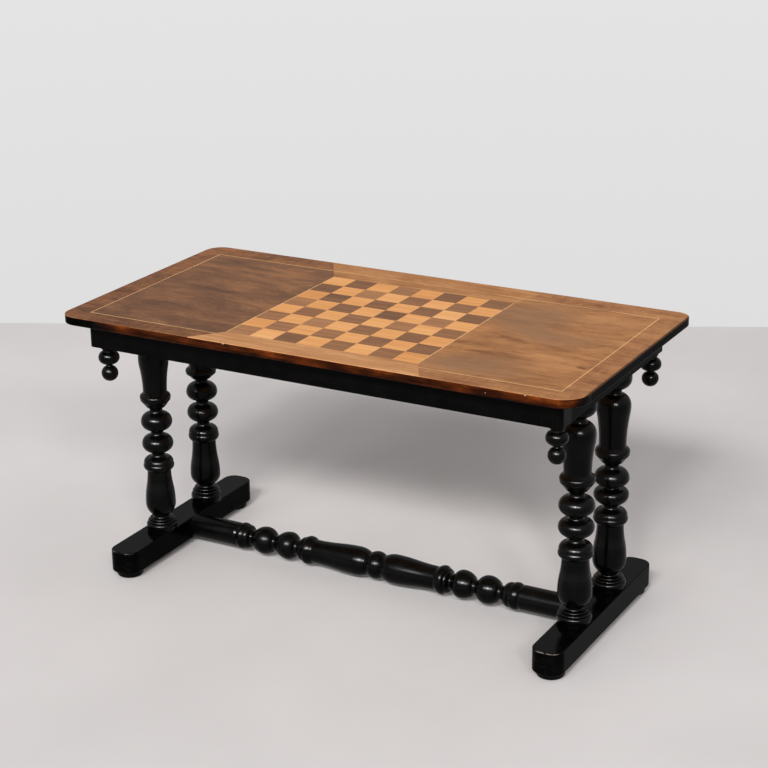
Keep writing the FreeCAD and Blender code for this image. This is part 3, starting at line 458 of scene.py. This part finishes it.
def bare_wood(name, colours):
    """Plain wood of the hidden frame, planed and darkened by age, in a dark and a light colour."""
    finish = Finish(name)
    place = grain_place(finish, ALONG_X, BARE_WARP)
    rings = finish.noise(place, along(ALONG_X, *BARE_RING), detail=4.0, roughness=0.55)
    fibres = finish.noise(place, along(ALONG_X, *BARE_FIBRE))
    tone = finish.total(rings, finish.swing(fibres, BARE_FIBRE_TONE))
    finish.set(
        Base_Color=finish.ramp(tone, BARE_TONES, colours),
        Roughness=finish.usual(rings, *BARE_ROUGHNESS),
        Specular_IOR_Level=BARE_SPECULAR,
    )
    finish.bump(fibres, BARE_RELIEF)
    return finish.material


# Zinc plate: its spots of dull and bright metal
ZINC_SPOT = 0.004
ZINC_COLOURS = (srgb(96, 92, 86), srgb(160, 158, 152))
ZINC_ROUGHNESS = (0.35, 0.55)


def zinc(name):
    """Dull zinc plate of the screws."""
    finish = Finish(name)
    spots = finish.noise(finish.place, even(ZINC_SPOT), detail=4.0)
    finish.set(
        Base_Color=finish.ramp(spots, NOISE_USUAL, ZINC_COLOURS),
        Metallic=1.0,
        Roughness=finish.usual(spots, *ZINC_ROUGHNESS),
    )
    return finish.material


def dress(material, *nodes):
    """Gives CAD nodes one material in all their slots."""
    for name in nodes:
        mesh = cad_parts[name].data
        mesh.materials.clear()
        mesh.materials.append(material)


CORNERS = ("front_left", "front_right", "back_right", "back_left")

# Colours of the veneers: dark, middle and light
LEFT_FIELD = (srgb(99, 68, 49), srgb(124, 86, 61), srgb(153, 106, 71))
LEFT_BORDER = (srgb(92, 57, 39), srgb(127, 84, 56), srgb(160, 106, 66))
RIGHT_FIELD = (srgb(132, 86, 51), srgb(170, 117, 73), srgb(194, 137, 88))
RIGHT_BORDER = (srgb(129, 83, 50), srgb(164, 112, 72), srgb(190, 135, 88))
BACK_WALNUT = (srgb(142, 91, 52), srgb(176, 121, 75), srgb(202, 146, 96))
FRONT_WALNUT = (srgb(166, 112, 70), srgb(193, 137, 90), srgb(214, 160, 110))
LIGHT_SQUARES = (srgb(200, 134, 74), srgb(226, 159, 96), srgb(240, 181, 120))
DARK_SQUARES = (srgb(116, 81, 58), srgb(149, 104, 71), srgb(176, 124, 84))
STRINGING = (srgb(206, 152, 96), srgb(236, 186, 126), srgb(246, 206, 150))
SMOKE = srgb(144, 107, 79)
RIM = srgb(44, 23, 9)

# Colours of the hidden woods: dark and light
SOFTWOOD = (srgb(128, 92, 58), srgb(184, 144, 98))
BEECH = (srgb(138, 96, 62), srgb(188, 142, 100))

# Figure of the two large veneers: middle and reach in plan, and how much lighter or darker
LEFT_FIGURE = (
    ((-0.315, 0.038), (0.070, 0.022), 0.10),
    ((-0.243, 0.074), (0.055, 0.020), 0.10),
    ((-0.235, -0.087), (0.090, 0.030), 0.07),
    ((-0.303, -0.116), (0.060, 0.025), 0.06),
    ((-0.300, 0.160), (0.120, 0.030), 0.06),
    ((-0.440, 0.208), (0.090, 0.024), -0.08),
    ((-0.360, 0.012), (0.080, 0.020), -0.08),
    ((-0.390, -0.160), (0.120, 0.050), -0.05),
)
RIGHT_FIGURE = (
    ((0.479, -0.108), (0.014, 0.007), -0.22),
    ((0.432, -0.110), (0.130, 0.080), 0.05),
    ((0.440, 0.170), (0.110, 0.050), 0.05),
    ((0.270, -0.120), (0.110, 0.020), -0.10),
    ((0.300, -0.022), (0.100, 0.012), -0.10),
)

# Smoky places of the right field: middle and reach in plan
RIGHT_SMOKE = (
    ((0.265, 0.120), (0.120, 0.130)),
    ((0.300, -0.180), (0.140, 0.060)),
    ((0.360, 0.030), (0.140, 0.060)),
)

# Relief of the pores: open in the sawn pieces, nearly filled in the feet and the turned pieces
OPEN_PORES = 0.00008
FOOT_PORES = 0.00003
TURNED_PORES = 0.00002


def dress_top():
    """The veneers, the squares, the inlaid lines and the edges of the top."""
    dress(
        veneer(
            "left_field", LEFT_FIELD, warp=0.16, streak=0.03, cloud=0.68, lean=0.035,
            figure=LEFT_FIGURE,
        ),
        "left_field_veneer",
    )
    dress(veneer("left_border", LEFT_BORDER, lean=0.04, curl=0.035), "left_border_veneer")
    dress(
        veneer(
            "right_field", RIGHT_FIELD, cloud=0.6,
            figure=RIGHT_FIGURE, smoke=SMOKE, smoke_places=RIGHT_SMOKE,
        ),
        "right_field_veneer",
    )
    dress(veneer("right_border", RIGHT_BORDER, curl=0.03, rim=RIM), "right_border_veneer")
    dress(
        veneer("back_walnut", BACK_WALNUT, warp=0.03, streak=0.008),
        "back_field_veneer", "back_border_veneer",
    )
    dress(veneer("front_walnut", FRONT_WALNUT, warp=0.02, streak=0.007), "front_centre_veneer")
    dress(squares("light_squares", LIGHT_SQUARES, spread=0.10), "light_squares")
    dress(squares("dark_squares", DARK_SQUARES, spread=0.18), "dark_squares")
    dress(
        veneer("stringing", STRINGING, warp=0.01, streak=0.004),
        "perimeter_stringing", "board_stringing",
    )
    dress(worn_and_lit_edge("worn_and_lit_edge"), "front_edge_band", "back_edge_band")
    dress(
        ebonised("black_band", ALONG_Y, roughness=0.20, specular=0.006, relief=OPEN_PORES),
        "left_end_band", "right_end_band",
    )


def dress_frame():
    """The black aprons and corner posts."""
    dress(
        ebonised("black_long", ALONG_X, roughness=0.40, specular=0.04, relief=OPEN_PORES),
        "front_apron", "back_apron",
    )
    dress(
        ebonised("black_cross", ALONG_Y, roughness=0.25, specular=0.009, relief=OPEN_PORES),
        "left_apron", "right_apron",
    )
    dress(
        ebonised("black_post", ALONG_Z, roughness=0.40, specular=0.04, relief=OPEN_PORES),
        *(f"{corner}_corner_post" for corner in CORNERS),
    )


def dress_trestles():
    """The feet, the turned legs, pendants and pads, and the stretcher."""
    dress(
        ebonised(
            "black_feet", ALONG_Y, roughness=0.14, specular=0.013, relief=FOOT_PORES,
            brown=0.2, crown=0.13, worn_highlit_foot=True,
        ),
        "left_foot", "right_foot",
    )
    dress(
        ebonised(
            "black_turned", ALONG_Z, roughness=0.22, specular=0.072, relief=TURNED_PORES,
            brown=0.08, crown=0.40,
        ),
        *(f"{corner}_{piece}" for corner in CORNERS for piece in ("leg", "pendant", "pad")),
    )
    dress(
        ebonised(
            "black_stretcher", ALONG_X, roughness=0.22, specular=0.07, relief=TURNED_PORES,
            brown=0.08, crown=0.30,
        ),
        "stretcher",
    )


def dress_hidden_pieces():
    """The core, bearers, glue blocks, pegs and screws."""
    dress(
        bare_wood("frame_softwood", SOFTWOOD),
        "top_core", "left_bearer", "right_bearer", "front_glue_blocks", "back_glue_blocks",
    )
    dress(bare_wood("peg_beech", BEECH), "stretcher_pegs")
    dress(zinc("zinc_screws"), "top_screws", "bearer_screws", "pad_screws")


# Floor: its reach round the table, the turn of its far edge in degrees, and its paint
FLOOR_FAR_EDGE = 1.681
FLOOR_TURN = 25.74
FLOOR_NEAR_REACH = 6.0
FLOOR_SIDE_REACH = 5.0
FLOOR_CLOUD = 0.5
FLOOR_TONES = (0.0, 0.3, 0.7)
FLOOR_COLOURS = (srgb(200, 196, 195), srgb(207, 203, 202), srgb(215, 211, 210))
FLOOR_ROUGHNESS = (0.65, 0.75)
FLOOR_SPECULAR = 0.2

# Painted falloff of light on the floor: where it starts to dim towards the wall and where it stops, and the
# change of tone at both
FLOOR_PAINTED_FALLOFF_REACH = (-0.5, 1.7)
FLOOR_PAINTED_FALLOFF = (0.10, -0.45)


def floor_paint_and_falloff(name):
    """Pale paint with faint clouds of wear, and a painted falloff of light: a little lighter in front and
    dimmer towards the wall.
    """
    finish = Finish(name)
    clouds = finish.noise(finish.place, even(FLOOR_CLOUD), detail=5.0)
    # Painted falloff of light: lighter in front, darker towards the wall
    tone = finish.total(clouds, finish.ranged(finish.axis(ALONG_Y), *FLOOR_PAINTED_FALLOFF_REACH, *FLOOR_PAINTED_FALLOFF))
    finish.set(
        Base_Color=finish.ramp(tone, FLOOR_TONES, FLOOR_COLOURS),
        Roughness=finish.usual(clouds, *FLOOR_ROUGHNESS),
        Specular_IOR_Level=FLOOR_SPECULAR,
    )
    return finish.material


def make_floor():
    """A plain floor that ends where the wall starts."""
    turn = Matrix.Rotation(math.radians(FLOOR_TURN), 4, "Z")
    corners = (
        (-FLOOR_SIDE_REACH, -FLOOR_NEAR_REACH, 0.0),
        (FLOOR_SIDE_REACH, -FLOOR_NEAR_REACH, 0.0),
        (FLOOR_SIDE_REACH, FLOOR_FAR_EDGE, 0.0),
        (-FLOOR_SIDE_REACH, FLOOR_FAR_EDGE, 0.0),
    )
    mesh = bpy.data.meshes.new("floor")
    mesh.from_pydata([turn @ Vector(corner) for corner in corners], [], [(0, 1, 2, 3)])
    mesh.materials.append(floor_paint_and_falloff("floor_paint_and_falloff"))
    floor = bpy.data.objects.new("floor", mesh)
    bpy.context.scene.collection.objects.link(floor)


# Lamps: name, azimuth and elevation in degrees as seen from the table, spread in degrees, and the
# share that each gives of the light on the floor
LAMPS = (
    ("far_left_lamp", -12.0, 34.0, 14.0, 0.08),
    ("left_lamp", 3.0, 35.0, 10.0, 0.145),
    ("main_lamp", 14.0, 36.0, 8.0, 0.23),
    ("right_lamp", 28.0, 34.0, 10.0, 0.11),
    ("far_right_lamp", 42.0, 31.0, 9.0, 0.095),
)


def make_lamps():
    """Far softboxes, which light the floor evenly: a share of 1 shows a colour as it is written."""
    for name, azimuth, elevation, spread, share in LAMPS:
        around, up = math.radians(azimuth), math.radians(elevation)
        way = Vector((math.sin(around) * math.cos(up), -math.cos(around) * math.cos(up), math.sin(up)))
        light = bpy.data.lights.new(name, "SUN")
        light.angle = math.radians(spread)
        light.energy = share * math.pi / way.z
        lamp = bpy.data.objects.new(name, light)
        lamp.rotation_euler = (-way).to_track_quat("-Z", "Y").to_euler()
        bpy.context.scene.collection.objects.link(lamp)


# Wall: its colours at the floor and above, the heights between which they change, as the Z of the way
# to them, and its strength as seen, in reflections and as light from all round
WALL_LOW_COLOUR = srgb(223, 222, 222)
WALL_HIGH_COLOUR = srgb(229, 228, 228)
WALL_HEIGHTS = (-0.31, -0.14)
SEEN_WALL = 1.0
GLOSSY_WALL = 0.32
AMBIENT = 0.52


def make_world():
    """A pale wall for the camera, a dimmer one in reflections, and an even light from all round."""
    world = bpy.data.worlds.new("studio")
    bpy.context.scene.world = world
    world.use_nodes = True
    tree = world.node_tree
    background = tree.nodes["Background"]
    path = tree.nodes.new("ShaderNodeLightPath")
    place = tree.nodes.new("ShaderNodeTexCoord")
    split = tree.nodes.new("ShaderNodeSeparateXYZ")
    tree.links.new(place.outputs["Generated"], split.inputs["Vector"])
    height = tree.nodes.new("ShaderNodeMapRange")
    height.inputs["From Min"].default_value, height.inputs["From Max"].default_value = WALL_HEIGHTS
    tree.links.new(split.outputs["Z"], height.inputs["Value"])
    wall = tree.nodes.new("ShaderNodeMix")
    wall.data_type = "RGBA"
    wall.inputs["A"].default_value = WALL_LOW_COLOUR
    wall.inputs["B"].default_value = WALL_HIGH_COLOUR
    tree.links.new(height.outputs["Result"], wall.inputs["Factor"])
    tree.links.new(wall.outputs["Result"], background.inputs["Color"])
    glossy = tree.nodes.new("ShaderNodeMix")
    glossy.inputs["A"].default_value = AMBIENT
    glossy.inputs["B"].default_value = GLOSSY_WALL
    tree.links.new(path.outputs["Is Glossy Ray"], glossy.inputs["Factor"])
    seen = tree.nodes.new("ShaderNodeMix")
    tree.links.new(path.outputs["Is Camera Ray"], seen.inputs["Factor"])
    tree.links.new(glossy.outputs["Result"], seen.inputs["A"])
    seen.inputs["B"].default_value = SEEN_WALL
    tree.links.new(seen.outputs["Result"], background.inputs["Strength"])


# Camera, as the photograph was taken: its place, its angles in degrees, sensor and lens in millimetres
CAMERA_PLACE = (1.7427, -3.1074, 1.6970)
CAMERA_AZIMUTH = 28.997
CAMERA_TILT = 19.665
CAMERA_ROLL = -0.706
SENSOR_WIDTH = 36.0
LENS = 91.23


def make_camera():
    """The camera that the photograph was taken with, as measured from it."""
    data = bpy.data.cameras.new("camera")
    data.sensor_width = SENSOR_WIDTH
    data.lens = LENS
    camera = bpy.data.objects.new("camera", data)
    camera.matrix_world = (
        Matrix.Translation(CAMERA_PLACE)
        @ Matrix.Rotation(math.radians(CAMERA_AZIMUTH), 4, "Z")
        @ Matrix.Rotation(math.radians(90 - CAMERA_TILT), 4, "X")
        @ Matrix.Rotation(math.radians(CAMERA_ROLL), 4, "Z")
    )
    bpy.context.scene.collection.objects.link(camera)
    bpy.context.scene.camera = camera


dress_top()
dress_frame()
dress_trestles()
dress_hidden_pieces()
make_floor()
make_lamps()
make_world()
make_camera()
bpy.context.scene.view_settings.view_transform = "Standard"
